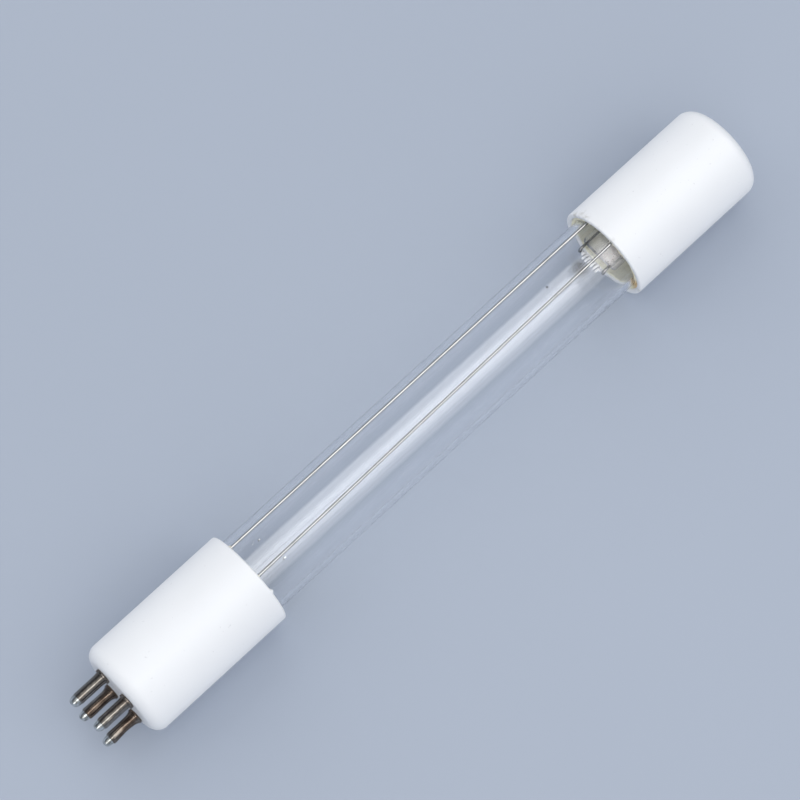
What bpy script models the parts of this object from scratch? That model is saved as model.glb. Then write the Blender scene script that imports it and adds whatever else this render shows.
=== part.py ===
"""Single-ended germicidal lamp: quartz tube, four-pin ceramic base, blank ceramic end cap.

The lamp is modelled upright in its own frame, with local +Z along the tube from the base's pin face (z = 0) to the
blank end face. The holder then lays it down on the rims of its two round caps: local +Z becomes world +X, and local
-X becomes world +Z. The clock angle of a piece is measured from straight up towards world +Y.
"""
import math

import bmesh
import bpy
from mathutils import Vector

# Lengths along the lamp, in metres
FACE_TO_FACE = 0.1485
BASE_LENGTH = 0.0306
END_CAP_LENGTH = 0.0306
PIN_LENGTH = 0.0076
BASE_FLOOR = 0.0045
END_CAP_FLOOR = 0.0035
WIRING_ROOM = 0.0111
END_ROOM = 0.0151

# Cross sections
TUBE_DIAMETER = 0.0155
TUBE_WALL = 0.0010
WIRE_DIAMETER = 0.0005
CERAMIC_WALL = 0.00105
EDGE_RADIUS = 0.0024
RIM_RADIUS = 0.00035

# Clearances: between pieces that touch, and round the ends of the glass
FIT = 0.0001
LOOSE_FIT = 0.0002

# Four contact pins at the corners of a rectangle that is turned a little round the axis
PIN_DIAMETER = 0.0023
PIN_BORE = 0.0009
PIN_SHANK_DIAMETER = 0.0019
PIN_SPACING_WIDE = 0.00635
PIN_SPACING_HIGH = 0.00792
PIN_TURN = math.radians(-9.3)
COLLAR_DIAMETER = 0.0031
COLLAR_THICKNESS = 0.0008
SOLDER_LENGTH = 0.0014
SOLDER_DIAMETER = 0.0020
RIVET_DIAMETER = 0.0027
RIVET_THICKNESS = 0.0005

# Electrode mounts: glass flare, flattened press, two hooked leads and a coiled filament
MOUNT_LENGTH = 0.0120
FLARE_WALL = 0.0007
EXHAUST_DIAMETER = 0.0030
EXHAUST_LENGTH = 0.0030
PRESS_WIDTH = 0.0082
PRESS_THICKNESS = 0.0025
LEAD_SPREAD = 0.0060
FAR_PRESS_SHIFT = 0.0005
FILAMENT_REACH = 0.0022
FILAMENT_WIRE = 0.00042
COIL_DIAMETER = 0.0014
COIL_PITCH = 0.00068
COIL_TURNS = 5
COIL_BOW = 0.0006
LEAD_BEND = 0.0012

# Return wires: clock angles at the base's rim and at the end cap's rim
WIRE_CLOCKS = ((math.radians(35.0), math.radians(37.0)), (math.radians(-18.9), math.radians(-9.0)))

# Crimp sleeves, cement and mercury
SLEEVE_DIAMETER = 0.0014
SLEEVE_LENGTH = 0.0040
SLEEVE_STANDOFF = 0.0010
CEMENT_RECESS = 0.0007
CEMENT_SLOT = 0.0040
CEMENT_OVERRUN = 0.0060
CEMENT_HEEL = 0.0014
BEAD_PLACES = ((0.0064, math.radians(130), 0.0006), (0.0078, math.radians(183), 0.0008))

# Number of sides of the turned pieces
CAP_SIDES = 64
CEMENT_SIDES = 32
STEM_SIDES = 24
PIN_SIDES = 16

# Sizes that follow from those above
TUBE_RADIUS = TUBE_DIAMETER / 2
TUBE_BORE = TUBE_RADIUS - TUBE_WALL
WIRE_RADIUS = WIRE_DIAMETER / 2
WIRE_TRACK = TUBE_RADIUS + FIT + WIRE_RADIUS
CAP_BORE = WIRE_TRACK + WIRE_RADIUS + FIT
CAP_RADIUS = CAP_BORE + CERAMIC_WALL
BASE_RIM = BASE_LENGTH
END_CAP_RIM = FACE_TO_FACE - END_CAP_LENGTH
TUBE_NEAR_END = BASE_FLOOR + WIRING_ROOM
TUBE_FAR_END = FACE_TO_FACE - END_CAP_FLOOR - END_ROOM
NEAR_INSERT = BASE_RIM - TUBE_NEAR_END
FAR_INSERT = TUBE_FAR_END - END_CAP_RIM


def material(name, color, roughness, metallic=0.0, transmission=0.0):
    """A Principled material in the photo's colour."""
    finish = bpy.data.materials.new(name)
    finish.use_nodes = True
    shader = finish.node_tree.nodes["Principled BSDF"]
    shader.inputs["Base Color"].default_value = (*color, 1.0)
    shader.inputs["Roughness"].default_value = roughness
    shader.inputs["Metallic"].default_value = metallic
    shader.inputs["Transmission Weight"].default_value = transmission
    finish.diffuse_color = (*color, 1.0)
    return finish


def place(name, data, finish):
    """Link a new object with its own material and hang it on the holder."""
    data.materials.append(finish)
    piece = bpy.data.objects.new(name, data)
    bpy.context.scene.collection.objects.link(piece)
    piece.parent = holder
    return piece


def finish_mesh(name, bm):
    """Turn the faces outward, shade the round ones smooth and give back the mesh."""
    bmesh.ops.recalc_face_normals(bm, faces=bm.faces)
    mesh = bpy.data.meshes.new(name)
    bm.to_mesh(mesh)
    bm.free()
    mesh.shade_smooth()
    mesh.set_sharp_from_angle(angle=math.radians(40))
    return mesh


def ring(bm, sides, along, half_x, half_y, shift_y=0.0, squareness=2.0):
    """One closed ring of a turned or pressed shape, with a flat facet at the bottom of the lamp."""
    verts = []
    for side in range(sides):
        angle = math.pi / sides + 2 * math.pi * side / sides
        cosine = math.cos(angle)
        sine = math.sin(angle)
        x = half_x * math.copysign(abs(cosine) ** (2 / squareness), cosine)
        y = half_y * math.copysign(abs(sine) ** (2 / squareness), sine)
        verts.append(bm.verts.new((x, y + shift_y, along)))
    return verts


def bridge(bm, first, second):
    """Join two rings with a band of quads."""
    for side in range(len(first)):
        following = (side + 1) % len(first)
        bm.faces.new((first[side], first[following], second[following], second[side]))


def turned_mesh(name, outline, sides, hollow):
    """Turn an outline of (along, radius) round the axis: a tube if hollow, else closed by a face at each end."""
    bm = bmesh.new()
    rings = [ring(bm, sides, along, radius, radius) for along, radius in outline]
    for first, second in zip(rings, rings[1:]):
        bridge(bm, first, second)
    if hollow:
        bridge(bm, rings[-1], rings[0])
    else:
        bm.faces.new(rings[0])
        bm.faces.new(rings[-1])
    return finish_mesh(name, bm)


def arc(center_along, center_radius, radius, start, end, steps):
    """Points of a round edge in an outline, from one angle to another, measured from the axis direction."""
    points = []
    for step in range(steps + 1):
        angle = math.radians(start + (end - start) * step / steps)
        points.append((center_along + radius * math.cos(angle), center_radius + radius * math.sin(angle)))
    return points


def around(radius, clock, along):
    """The local point at a radius and clock angle."""
    return Vector((-radius * math.cos(clock), radius * math.sin(clock), along))


def rounded(points, reach, steps):
    """A route with each corner rounded off, as wire bends in the hand."""
    route = [points[0]]
    for before, corner, after in zip(points, points[1:], points[2:]):
        trim = min(reach, (corner - before).length * 0.48, (after - corner).length * 0.48)
        start = corner + (before - corner).normalized() * trim
        end = corner + (after - corner).normalized() * trim
        for step in range(steps + 1):
            t = step / steps
            route.append(start * (1 - t) ** 2 + corner * 2 * t * (1 - t) + end * t ** 2)
    route.append(points[-1])
    return route


def wire(name, route, radius, finish, sides=8):
    """A round wire along a route, closed at both ends."""
    curve = bpy.data.curves.new(name, "CURVE")
    curve.dimensions = "3D"
    curve.bevel_depth = radius
    curve.bevel_resolution = (sides - 4) // 2
    curve.use_fill_caps = True
    spline = curve.splines.new("POLY")
    spline.points.add(len(route) - 1)
    for point, position in zip(spline.points, route):
        point.co = (*position, 1.0)
    return place(name, curve, finish)


def cut(piece, cutters):
    """Cut a piece with hidden wire-frame cutters."""
    for cutter in cutters:
        modifier = piece.modifiers.new("cut_" + cutter.name, "BOOLEAN")
        modifier.operation = "DIFFERENCE"
        modifier.solver = "EXACT"
        modifier.object = cutter


def cutter_rod(name, start, end, radius, sides):
    """A hidden rod that cuts a round hole from start to end, both on a line along the lamp."""
    bm = bmesh.new()
    near = ring(bm, sides, start.z, radius, radius)
    far = ring(bm, sides, end.z, radius, radius)
    for verts, center in ((near, start), (far, end)):
        for vert in verts:
            vert.co.x += center.x
            vert.co.y += center.y
    bridge(bm, near, far)
    bm.faces.new(near)
    bm.faces.new(far)
    mesh = finish_mesh(name, bm)
    rod = bpy.data.objects.new(name, mesh)
    bpy.context.scene.collection.objects.link(rod)
    rod.parent = holder
    rod.hide_render = True
    rod.display_type = "WIRE"
    return rod


for old in list(bpy.data.objects):
    bpy.data.objects.remove(old)

# The holder lays the lamp on the lowest facets of its caps, with its whole length centred on the origin
holder = bpy.data.objects.new("lamp_holder", None)
bpy.context.scene.collection.objects.link(holder)
holder.rotation_euler = (0.0, math.radians(90), 0.0)
holder.location = ((PIN_LENGTH - FACE_TO_FACE) / 2, 0.0, CAP_RADIUS * math.cos(math.pi / CAP_SIDES))

# Places of the four pins: 1 and 3 on the upper side, 2 and 4 on the lower side
PIN_PLACES = []
for side_y, side_up in ((1, 1), (1, -1), (-1, 1), (-1, -1)):
    half_wide = side_y * PIN_SPACING_WIDE / 2
    half_high = side_up * PIN_SPACING_HIGH / 2
    across = half_wide * math.cos(PIN_TURN) - half_high * math.sin(PIN_TURN)
    upward = half_wide * math.sin(PIN_TURN) + half_high * math.cos(PIN_TURN)
    PIN_PLACES.append(Vector((-upward, across, 0.0)))

# Ceramic base: a cup with a thick floor that carries the pins, glazed with soft edges
base_outline = arc(BASE_FLOOR + RIM_RADIUS, CAP_BORE - RIM_RADIUS, RIM_RADIUS, 180, 90, 2)
base_outline += arc(BASE_RIM - RIM_RADIUS, CAP_BORE + RIM_RADIUS, RIM_RADIUS, -90, 0, 2)
base_outline += arc(BASE_RIM - RIM_RADIUS, CAP_RADIUS - RIM_RADIUS, RIM_RADIUS, 0, 90, 3)
base_outline += arc(EDGE_RADIUS, CAP_RADIUS - EDGE_RADIUS, EDGE_RADIUS, 90, 180, 6)
base_shell = place("base_shell", turned_mesh("base_shell", base_outline, CAP_SIDES, False),
                   material("base_ceramic", (0.90, 0.91, 0.93), 0.18))
pin_holes = []
for number, pin_place in enumerate(PIN_PLACES, start=1):
    outside = pin_place + Vector((0.0, 0.0, -BASE_FLOOR * 0.5))
    inside = pin_place + Vector((0.0, 0.0, BASE_FLOOR * 1.5))
    hole_radius = PIN_SHANK_DIAMETER / 2 + LOOSE_FIT
    pin_holes.append(cutter_rod("pin_hole_%d" % number, outside, inside, hole_radius, PIN_SIDES))
cut(base_shell, pin_holes)

# Blank end cap: the same cup without pins
end_floor = FACE_TO_FACE - END_CAP_FLOOR
end_outline = arc(end_floor - RIM_RADIUS, CAP_BORE - RIM_RADIUS, RIM_RADIUS, 0, 90, 2)
end_outline += arc(END_CAP_RIM + RIM_RADIUS, CAP_BORE + RIM_RADIUS, RIM_RADIUS, -90, -180, 2)
end_outline += arc(END_CAP_RIM + RIM_RADIUS, CAP_RADIUS - RIM_RADIUS, RIM_RADIUS, 180, 90, 3)
end_outline += arc(FACE_TO_FACE - EDGE_RADIUS, CAP_RADIUS - EDGE_RADIUS, EDGE_RADIUS, 90, 0, 6)
place("end_cap", turned_mesh("end_cap", end_outline, CAP_SIDES, False),
      material("end_cap_ceramic", (0.90, 0.91, 0.93), 0.18))

# Quartz tube: cut to length, with fire-polished ends
polish = TUBE_WALL * 0.35
tube_outline = arc(TUBE_NEAR_END + polish, TUBE_RADIUS - polish, polish, 90, 180, 2)
tube_outline += arc(TUBE_NEAR_END + polish, TUBE_BORE + polish, polish, 180, 270, 2)
tube_outline += arc(TUBE_FAR_END - polish, TUBE_BORE + polish, polish, -90, 0, 2)
tube_outline += arc(TUBE_FAR_END - polish, TUBE_RADIUS - polish, polish, 0, 90, 2)
place("quartz_tube", turned_mesh("quartz_tube", tube_outline, CAP_SIDES, True),
      material("quartz", (0.95, 0.97, 1.0), 0.02, transmission=1.0))


class Mount:
    """An electrode mount: the end of the glass that it closes, the way into the tube and its press's side shift."""

    def __init__(self, label, tube_end, inward, press_shift):
        self.label = label
        self.tube_end = tube_end
        self.inward = inward
        self.press_shift = press_shift

    def along(self, depth):
        """Position along the lamp of a depth that is measured from the end of the glass into the tube."""
        return self.tube_end + self.inward * depth

    def lead(self, side, depth):
        """The point of a lead's straight run through the press at a depth."""
        return Vector((0.0, self.press_shift + side * LEAD_SPREAD / 2, self.along(depth)))


def stem(mount):
    """Glass stem in one piece: sealed exhaust stub, flare that closes the end of the glass, and flattened press."""
    exhaust = EXHAUST_DIAMETER / 2
    lip = TUBE_BORE - LOOSE_FIT
    half_width = PRESS_WIDTH / 2
    half_press = PRESS_THICKNESS / 2
    # Depth as a share of the mount's length, half thickness, half width, squareness and share of the side shift
    sections = (
        (-EXHAUST_LENGTH / MOUNT_LENGTH, exhaust * 0.35, exhaust * 0.35, 2.0, 0.0),
        ((exhaust * 0.35 - EXHAUST_LENGTH) / MOUNT_LENGTH, exhaust * 0.8, exhaust * 0.8, 2.0, 0.0),
        ((exhaust - EXHAUST_LENGTH) / MOUNT_LENGTH, exhaust, exhaust, 2.0, 0.0),
        (0.34, exhaust, exhaust, 2.0, 0.0),
        (0.36, exhaust * 1.3, exhaust * 1.3, 2.0, 0.0),
        (0.26, half_width * 0.95, half_width * 0.95, 2.0, 0.0),
        (0.10, lip - FLARE_WALL * 1.5, lip - FLARE_WALL * 1.5, 2.0, 0.0),
        (0.0, lip - FLARE_WALL, lip - FLARE_WALL, 2.0, 0.0),
        (0.0, lip, lip, 2.0, 0.0),
        (0.12, lip * 0.95, lip * 0.95, 2.0, 0.0),
        (0.32, half_width * 1.22, half_width * 1.22, 2.0, 0.0),
        (0.47, half_width * 0.90, half_width * 1.04, 2.2, 0.5),
        (0.60, half_press * 1.35, half_width, 2.8, 1.0),
        (0.72, half_press, half_width, 3.6, 1.0),
        (0.94, half_press, half_width, 3.6, 1.0),
        (1.0, half_press * 0.62, half_width * 0.93, 3.0, 1.0),
    )
    bm = bmesh.new()
    rings = []
    for share, half_x, half_y, squareness, shift in sections:
        along = mount.along(share * MOUNT_LENGTH)
        rings.append(ring(bm, STEM_SIDES, along, half_x, half_y, shift * mount.press_shift, squareness))
    for first, second in zip(rings, rings[1:]):
        bridge(bm, first, second)
    bm.faces.new(rings[0])
    bm.faces.new(rings[-1])
    name = "stem_" + mount.label
    glass = material(name + "_glass", (0.93, 0.92, 0.92), 0.12, transmission=0.6)
    piece = place(name, finish_mesh(name, bm), glass)
    holes = []
    for number, side in ((1, 1), (2, -1)):
        name = "lead_hole_%s_%d" % (mount.label, number)
        start = mount.lead(side, 0.0)
        end = mount.lead(side, MOUNT_LENGTH * 1.1)
        holes.append(cutter_rod(name, start, end, WIRE_RADIUS + FIT, 12))
    cut(piece, holes)


def lead_hook(mount, side):
    """A lead's inner end, from its tip to the press: it hooks over the filament's leg, then cranks to the middle."""
    leg_depth = MOUNT_LENGTH + FILAMENT_REACH
    crank = WIRE_RADIUS + FIT + FILAMENT_WIRE / 2
    route = []
    for step in range(8):
        angle = math.radians(-30 + 30 * step)
        across = Vector((crank * math.cos(angle), 0.0, 0.0))
        route.append(mount.lead(side, leg_depth + crank * math.sin(angle)) + across)
    route.append(mount.lead(side, MOUNT_LENGTH + FILAMENT_REACH * 0.5) + Vector((-crank, 0.0, 0.0)))
    route.append(mount.lead(side, MOUNT_LENGTH + FILAMENT_REACH * 0.1))
    return route


def filament(mount):
    """Tungsten coil that bows into the tube between the two hooks that hold its legs."""
    coil_radius = (COIL_DIAMETER - FILAMENT_WIRE) / 2
    half_coil = COIL_TURNS * COIL_PITCH / 2
    hooks = mount.lead(0, MOUNT_LENGTH + FILAMENT_REACH)
    center = mount.lead(0, MOUNT_LENGTH + FILAMENT_REACH + COIL_BOW)
    leg = Vector((0.0, LEAD_SPREAD / 2 + WIRE_RADIUS * 1.6, 0.0))
    knee = Vector((0.0, LEAD_SPREAD / 2 - WIRE_RADIUS * 1.6, 0.0))
    shoulder = Vector((0.0, half_coil + COIL_PITCH * 0.35, 0.0))
    route = [hooks - leg, hooks - knee, center - shoulder]
    steps = COIL_TURNS * 12
    for step in range(steps + 1):
        turn = 2 * math.pi * step / 12
        offset = half_coil * (2 * step / steps - 1)
        route.append(center + Vector((coil_radius * math.cos(turn), offset, coil_radius * math.sin(turn))))
    route += [center + shoulder, hooks + knee, hooks + leg]
    name = "filament_" + mount.label
    tungsten = material(name + "_tungsten", (0.62, 0.62, 0.64), 0.35, 1.0)
    wire(name, route, FILAMENT_WIRE / 2, tungsten, sides=6)


near_mount = Mount("near", TUBE_NEAR_END, 1, 0.0)
far_mount = Mount("far", TUBE_FAR_END, -1, FAR_PRESS_SHIFT)
for mount in (near_mount, far_mount):
    stem(mount)
    filament(mount)

# Near leads: from the filament through the press and the flare into pins 2 and 4, up to the solder
pin_wire_end = SOLDER_LENGTH + FIT - PIN_LENGTH
pin_run_start = BASE_FLOOR + RIVET_THICKNESS + LEAD_BEND * 1.5
for number, side, pin_place in ((1, 1, PIN_PLACES[1]), (2, -1, PIN_PLACES[3])):
    inner = lead_hook(near_mount, side)
    outer = [inner[-1], near_mount.lead(side, -LEAD_BEND),
             pin_place + Vector((0.0, 0.0, pin_run_start)), pin_place + Vector((0.0, 0.0, pin_wire_end))]
    wire("lead_near_%d" % number, inner + rounded(outer, LEAD_BEND, 4)[1:], WIRE_RADIUS,
         material("lead_near_%d_nickel" % number, (0.72, 0.70, 0.66), 0.25, 1.0))

# Far leads: straight out through the flare into the crimp sleeves
sleeve_middle = -(SLEEVE_STANDOFF + SLEEVE_LENGTH / 2)
for number, side in ((1, 1), (2, -1)):
    inner = lead_hook(far_mount, side)
    wire("lead_far_%d" % number, inner + [far_mount.lead(side, sleeve_middle + FIT)], WIRE_RADIUS,
         material("lead_far_%d_nickel" % number, (0.72, 0.70, 0.66), 0.25, 1.0))

# Crimp sleeves that join the far leads to the return wires
for number, side in ((1, 1), (2, -1)):
    name = "splice_sleeve_%d" % number
    sleeve_bore = WIRE_RADIUS + FIT
    half_sleeve = SLEEVE_LENGTH / 2
    sleeve_outline = [(-half_sleeve, sleeve_bore), (-half_sleeve, SLEEVE_DIAMETER / 2),
                      (half_sleeve, SLEEVE_DIAMETER / 2), (half_sleeve, sleeve_bore)]
    sleeve = place(name, turned_mesh(name, sleeve_outline, 12, True),
                   material(name + "_nickel", (0.70, 0.69, 0.66), 0.3, 1.0))
    sleeve.location = far_mount.lead(side, sleeve_middle)

# Return wires: from the sleeves back over the outside of the glass, and into pins 1 and 3
track_cutters = {"near": [], "far": []}
for number, side, clocks, pin_place in ((1, 1, WIRE_CLOCKS[0], PIN_PLACES[0]), (2, -1, WIRE_CLOCKS[1], PIN_PLACES[2])):
    at_base = around(WIRE_TRACK, clocks[0], BASE_RIM)
    at_cap = around(WIRE_TRACK, clocks[1], END_CAP_RIM)
    slope = (at_cap - at_base) / (END_CAP_RIM - BASE_RIM)
    leaves_glass = at_cap + slope * (FAR_INSERT + LEAD_BEND * 0.8)
    reaches_base = at_base - slope * (NEAR_INSERT + LEAD_BEND * 0.8)
    sleeve_exit = far_mount.lead(side, sleeve_middle - SLEEVE_LENGTH / 2 - LEAD_BEND)
    turn_back = around(CAP_BORE * 0.68, clocks[1], far_mount.along(sleeve_middle - SLEEVE_LENGTH / 2))
    route = rounded([far_mount.lead(side, sleeve_middle - FIT), sleeve_exit, turn_back, leaves_glass, reaches_base,
                     pin_place + Vector((0.0, 0.0, pin_run_start)), pin_place + Vector((0.0, 0.0, pin_wire_end))],
                    LEAD_BEND, 4)
    wire("return_wire_%d" % number, route, WIRE_RADIUS,
         material("return_wire_%d_nickel" % number, (0.80, 0.78, 0.74), 0.2, 1.0))
    slot_radius = WIRE_DIAMETER * 1.2
    track_cutters["near"].append(cutter_rod("near_slot_%d" % number, at_base - slope * (NEAR_INSERT + CEMENT_SLOT),
                                            at_base + slope * CEMENT_RECESS, slot_radius, 12))
    track_cutters["far"].append(cutter_rod("far_slot_%d" % number, at_cap - slope * CEMENT_RECESS,
                                           at_cap + slope * (FAR_INSERT + CEMENT_SLOT), slot_radius, 12))

# Cement between glass and ceramic: a sleeve slotted for the two wires, with a heel behind the end of the glass
cement_outside = CAP_BORE - FIT
cement_inside = TUBE_RADIUS + FIT
for mount, insert in ((near_mount, NEAR_INSERT), (far_mount, FAR_INSERT)):
    front = mount.along(insert - CEMENT_RECESS)
    heel = mount.along(-CEMENT_SLOT)
    heel_top = mount.along(-CEMENT_SLOT - FIT * 4)
    back = mount.along(-CEMENT_OVERRUN)
    cement_outline = [(front, cement_outside), (front, cement_inside), (heel, cement_inside),
                      (heel_top, cement_outside - CEMENT_HEEL), (back, cement_outside - CEMENT_HEEL),
                      (back, cement_outside)]
    name = "cement_" + mount.label
    cement = place(name, turned_mesh(name, cement_outline, CEMENT_SIDES, True),
                   material(name + "_putty", (0.58, 0.54, 0.43), 0.85))
    cut(cement, track_cutters[mount.label])

# Contact pins: hollow, with a collar on the pin face, a shank through the floor and a riveted end inside
pin_radius = PIN_DIAMETER / 2
pin_mouth = SOLDER_LENGTH - PIN_LENGTH
pin_outline = [(pin_mouth, PIN_BORE / 2), (pin_mouth, pin_radius * 0.9), (pin_mouth + pin_radius * 0.25, pin_radius),
               (-COLLAR_THICKNESS - pin_radius * 0.9, pin_radius), (-COLLAR_THICKNESS, COLLAR_DIAMETER / 2 * 0.86),
               (-COLLAR_THICKNESS * 0.75, COLLAR_DIAMETER / 2), (-FIT, COLLAR_DIAMETER / 2),
               (-FIT, PIN_SHANK_DIAMETER / 2), (BASE_FLOOR + FIT, PIN_SHANK_DIAMETER / 2),
               (BASE_FLOOR + FIT, RIVET_DIAMETER / 2), (BASE_FLOOR + RIVET_THICKNESS, RIVET_DIAMETER / 2),
               (BASE_FLOOR + RIVET_THICKNESS, PIN_BORE / 2)]
for number, pin_place in enumerate(PIN_PLACES, start=1):
    name = "pin_%d" % number
    pin = place(name, turned_mesh(name, pin_outline, PIN_SIDES, True),
                material(name + "_plating", (0.50, 0.44, 0.38), 0.3, 1.0))
    pin.location = pin_place

# Solder domes that close the pins over the ends of the wires
solder_outline = []
for step in range(5):
    angle = math.radians(18 * step)
    solder_outline.append((pin_mouth - FIT - (SOLDER_LENGTH - FIT) * math.sin(angle) / math.sin(math.radians(72)),
                           SOLDER_DIAMETER / 2 * math.cos(angle)))
for number, pin_place in enumerate(PIN_PLACES, start=1):
    name = "solder_tip_%d" % number
    dome = place(name, turned_mesh(name, solder_outline, 12, False), material(name + "_tin", (0.75, 0.75, 0.74), 0.3, 1.0))
    dome.location = pin_place

# Mercury droplets on the inner wall near the base
for number, (from_rim, clock, diameter) in enumerate(BEAD_PLACES, start=1):
    name = "mercury_bead_%d" % number
    bm = bmesh.new()
    bmesh.ops.create_uvsphere(bm, u_segments=12, v_segments=8, radius=diameter / 2)
    bead = place(name, finish_mesh(name, bm), material(name + "_silver", (0.80, 0.80, 0.82), 0.05, 1.0))
    bead.location = around(TUBE_BORE * math.cos(math.pi / CAP_SIDES) - FIT - diameter / 2, clock, BASE_RIM + from_rim)
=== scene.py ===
import math

import bmesh
import bpy
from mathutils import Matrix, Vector, noise


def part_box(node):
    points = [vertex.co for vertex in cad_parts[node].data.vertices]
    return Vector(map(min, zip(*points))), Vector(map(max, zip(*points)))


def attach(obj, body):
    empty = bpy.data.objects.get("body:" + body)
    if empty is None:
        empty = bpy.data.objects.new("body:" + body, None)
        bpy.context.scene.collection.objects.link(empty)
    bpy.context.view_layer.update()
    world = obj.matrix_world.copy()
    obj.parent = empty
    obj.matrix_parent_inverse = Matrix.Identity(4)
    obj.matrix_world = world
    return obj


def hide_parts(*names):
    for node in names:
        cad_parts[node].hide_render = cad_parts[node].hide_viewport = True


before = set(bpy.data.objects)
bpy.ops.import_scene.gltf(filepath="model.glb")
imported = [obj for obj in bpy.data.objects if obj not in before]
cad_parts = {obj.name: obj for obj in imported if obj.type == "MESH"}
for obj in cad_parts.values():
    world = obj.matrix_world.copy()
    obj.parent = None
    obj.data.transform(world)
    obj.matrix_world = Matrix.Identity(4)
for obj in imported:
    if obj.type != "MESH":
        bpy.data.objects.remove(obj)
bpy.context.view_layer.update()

# Camera
# The lamp lies on the floor and is seen from above, a little past its pin end, through a long lens that
# looks at a point near the middle of the tube, at the height of the lamp's axis.
VIEW_AZIMUTH = math.radians(-43.66)
VIEW_ELEVATION = math.radians(72.24)
VIEW_DISTANCE = 0.5688
LENS = 143.45
AIM_ALONG = 0.00173
AIM_ACROSS = 0.00539
shell_low, shell_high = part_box("base_shell")
AXIS_HEIGHT = (shell_low.z + shell_high.z) / 2
aim = Vector((AIM_ALONG, AIM_ACROSS, AXIS_HEIGHT))
view_back = Vector((math.sin(VIEW_AZIMUTH) * math.cos(VIEW_ELEVATION),
                    -math.cos(VIEW_AZIMUTH) * math.cos(VIEW_ELEVATION),
                    math.sin(VIEW_ELEVATION)))
camera = bpy.data.objects.new("camera", bpy.data.cameras.new("camera"))
bpy.context.scene.collection.objects.link(camera)
camera.data.lens = LENS
camera.data.sensor_width = 36
camera.data.clip_start = 0.01
camera.data.clip_end = 50
camera.location = aim + view_back * VIEW_DISTANCE
camera.rotation_euler = view_back.to_track_quat("Z", "Y").to_euler()
bpy.context.scene.camera = camera

# Soft boxes
# A wide soft box with a brighter middle hangs over the lamp, leaned to the camera's side. Screens over the
# tube and the pins show only in gloss, and two weaker boxes, out of gloss, fill from the sides.


def hang_soft_box(name, along, across, distance, clock, radiance, middle_x=0.0, only_glossy=False,
                  glossy=True):
    """A soft box along the lamp that faces it, at a clock angle in degrees from straight up towards +Y."""
    clock = math.radians(clock)
    light = bpy.data.lights.new(name, "AREA")
    light.shape = "RECTANGLE"
    light.size = along
    light.size_y = across
    light.energy = radiance * math.pi * along * across
    box = bpy.data.objects.new(name, light)
    bpy.context.scene.collection.objects.link(box)
    box.location = Vector((middle_x, math.sin(clock) * distance, math.cos(clock) * distance))
    box.rotation_euler = (-clock, 0.0, 0.0)
    box.visible_diffuse = not only_glossy
    box.visible_glossy = glossy
    box.visible_transmission = glossy
    box.visible_camera = False


# Name, length, width, distance, clock angle and radiance
hang_soft_box("wide_box", 2.15, 1.55, 0.80, -17, 0.32, middle_x=-0.25)
hang_soft_box("bright_middle", 0.90, 0.70, 0.76, -17, 0.42)
hang_soft_box("tube_screen", 1.60, 1.56, 0.78, -17, 1.15, middle_x=0.83, only_glossy=True)
hang_soft_box("tube_strip", 1.60, 0.52, 0.72, -17, 0.90, middle_x=0.83, only_glossy=True)
hang_soft_box("pin_strip", 1.30, 0.16, 0.74, -20, 3.20, middle_x=-0.62, only_glossy=True)
hang_soft_box("fill_box_back", 2.80, 1.50, 1.35, 52, 0.78, glossy=False)
hang_soft_box("fill_box_front", 2.80, 1.50, 1.35, -60, 0.60, glossy=False)

# Floor and sky
# A smooth pale blue-grey card lies under the lamp and fades to the backdrop's colour far out. The sky has
# that colour at the horizon, lights the lamp softly, and darkens overhead like a studio's ceiling.
FLOOR_HALF = 4.0
FADE_START = 0.35
FADE_END = 1.0
BACKDROP = (0.412, 0.472, 0.575)
CARD_TONES = [(0.3, (0.407, 0.454, 0.538)), (0.7, (0.419, 0.466, 0.552))]
SKY_LIGHT = (0.424, 0.444, 0.474)
CEILING = (0.11, 0.12, 0.14)
CEILING_START = 0.25
CEILING_END = 0.6


def new_finish(name, **sockets):
    """A node material whose shader sockets that are the same all over are set straight on the shader."""
    made = bpy.data.materials.new(name)
    made.use_nodes = True
    shader = made.node_tree.nodes["Principled BSDF"]
    for socket, value in sockets.items():
        shader.inputs[socket.replace("_", " ")].default_value = value
    return made


def add_node(finish, kind, **values):
    """A node with its attributes and its unlinked inputs set."""
    node = finish.node_tree.nodes.new(kind)
    for key, value in values.items():
        if key in node.bl_rna.properties:
            setattr(node, key, value)
        else:
            node.inputs[key.replace("_", " ")].default_value = value
    return node


def join(finish, output, target):
    finish.node_tree.links.new(output, target)


def paint(finish, output, socket):
    """Give one of the shader's sockets a pattern."""
    join(finish, output, finish.node_tree.nodes["Principled BSDF"].inputs[socket])


def mottle(finish, scale, detail=3.0, stretch=(1.0, 1.0, 1.0)):
    """Noise over the piece in the lamp's own coordinates; a small stretch draws it out along that axis."""
    place = add_node(finish, "ShaderNodeTexCoord")
    sized = add_node(finish, "ShaderNodeMapping", Scale=stretch)
    spots = add_node(finish, "ShaderNodeTexNoise", Scale=scale, Detail=detail)
    join(finish, place.outputs["Object"], sized.inputs["Vector"])
    join(finish, sized.outputs["Vector"], spots.inputs["Vector"])
    return spots.outputs["Fac"]


def tones(finish, amount, stops):
    """Colours along a value from 0 to 1."""
    ramp = add_node(finish, "ShaderNodeValToRGB")
    join(finish, amount, ramp.inputs["Fac"])
    elements = ramp.color_ramp.elements
    while len(elements) < len(stops):
        elements.new(0.5)
    for element, (position, color) in zip(elements, stops):
        element.position = position
        element.color = (*color, 1.0)
    return ramp.outputs["Color"]


def blend_colors(finish, amount, first, second):
    """One colour over another; each is a node's output or three numbers."""
    mixer = add_node(finish, "ShaderNodeMix", data_type="RGBA")
    join(finish, amount, mixer.inputs["Factor"])
    for value, socket in ((first, mixer.inputs[6]), (second, mixer.inputs[7])):
        if isinstance(value, tuple):
            socket.default_value = (*value, 1.0)
        else:
            join(finish, value, socket)
    return mixer.outputs[2]


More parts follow.
